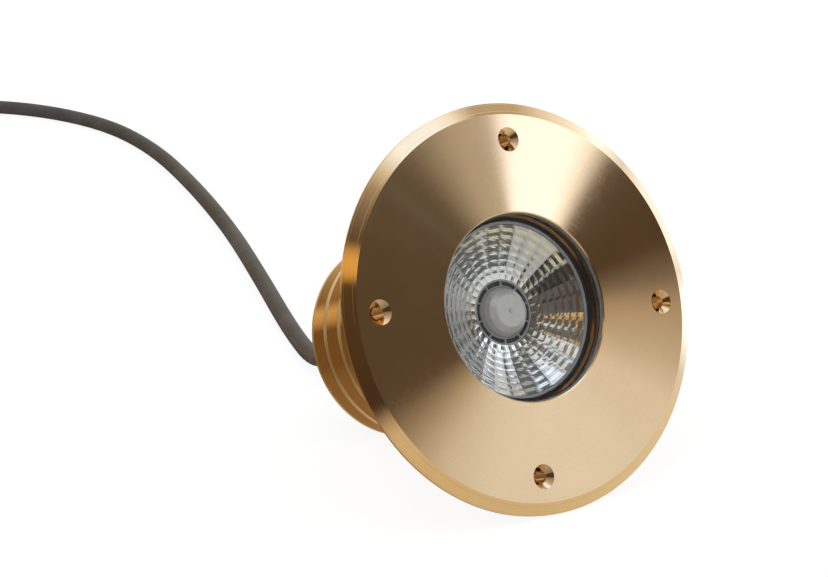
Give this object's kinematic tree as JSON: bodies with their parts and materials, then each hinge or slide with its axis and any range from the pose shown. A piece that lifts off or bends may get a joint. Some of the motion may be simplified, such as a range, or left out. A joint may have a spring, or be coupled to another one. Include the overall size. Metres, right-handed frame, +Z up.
{
  "type": "underwater pond light",
  "caption": "Turned bronze underwater pond light with a flange, recessed glass over a faceted lamp, a grooved barrel and a rubber cable.",
  "frame": {"origin": "on the surface the light rests on, below the middle of the light without its cable", "axes": "+Z up, the glass looks towards -Y and upwards, +X to the right seen from behind the light"},
  "size_m": [0.1562, 0.5483, 0.1059],
  "materials": {
    "bronze": "satin",
    "clear_glass": "gloss",
    "sealant": "satin",
    "black_rubber": "matte",
    "spring_steel": "satin",
    "lamp_clear": "gloss",
    "lamp_silver": "gloss",
    "frosted_plastic": "matte",
    "cast_aluminium": "satin",
    "board": "matte",
    "led_phosphor": "satin",
    "black_plastic": "matte",
    "nickel": "satin",
    "white_ceramic": "matte",
    "brass": "satin",
    "clear_silicone": "satin",
    "white_plastic": "satin",
    "core_brown": "satin",
    "core_blue": "satin",
    "cable_rubber": "matte",
    "gland_brass": "satin"
  },
  "bodies": {
    "root": {"body_o_ring": "black_rubber", "cable_coil": "cable_rubber", "cable_core_live": "core_brown", "cable_core_neutral": "core_blue", "cable_entry": "cable_rubber", "cable_run": "cable_rubber", "cable_tail": "cable_rubber", "face_flange": "bronze", "front_glass": "clear_glass", "gland_body": "gland_brass", "gland_lock_nut": "gland_brass", "gland_nut": "gland_brass", "gland_seal": "black_rubber", "gland_washer": "black_rubber", "glass_sealant_bead": "sealant", "holder_contacts": "brass", "holder_leads": "clear_silicone", "housing_body": "bronze", "lamp_base": "black_plastic", "lamp_centre_cap": "frosted_plastic", "lamp_driver_board": "board", "lamp_front_rim": "lamp_clear", "lamp_gasket": "black_rubber", "lamp_heat_sink": "cast_aluminium", "lamp_holder": "white_ceramic", "lamp_pins": "nickel", "lamp_reflector": "lamp_silver", "lamp_retaining_ring": "spring_steel", "lamp_spoke_ring": "lamp_clear", "led_board": "board", "led_chips": "led_phosphor", "tail_cores": "core_brown", "tail_ferrules": "nickel", "terminal_block": "white_plastic", "terminal_screws": "nickel"}
  },
  "joints": []
}
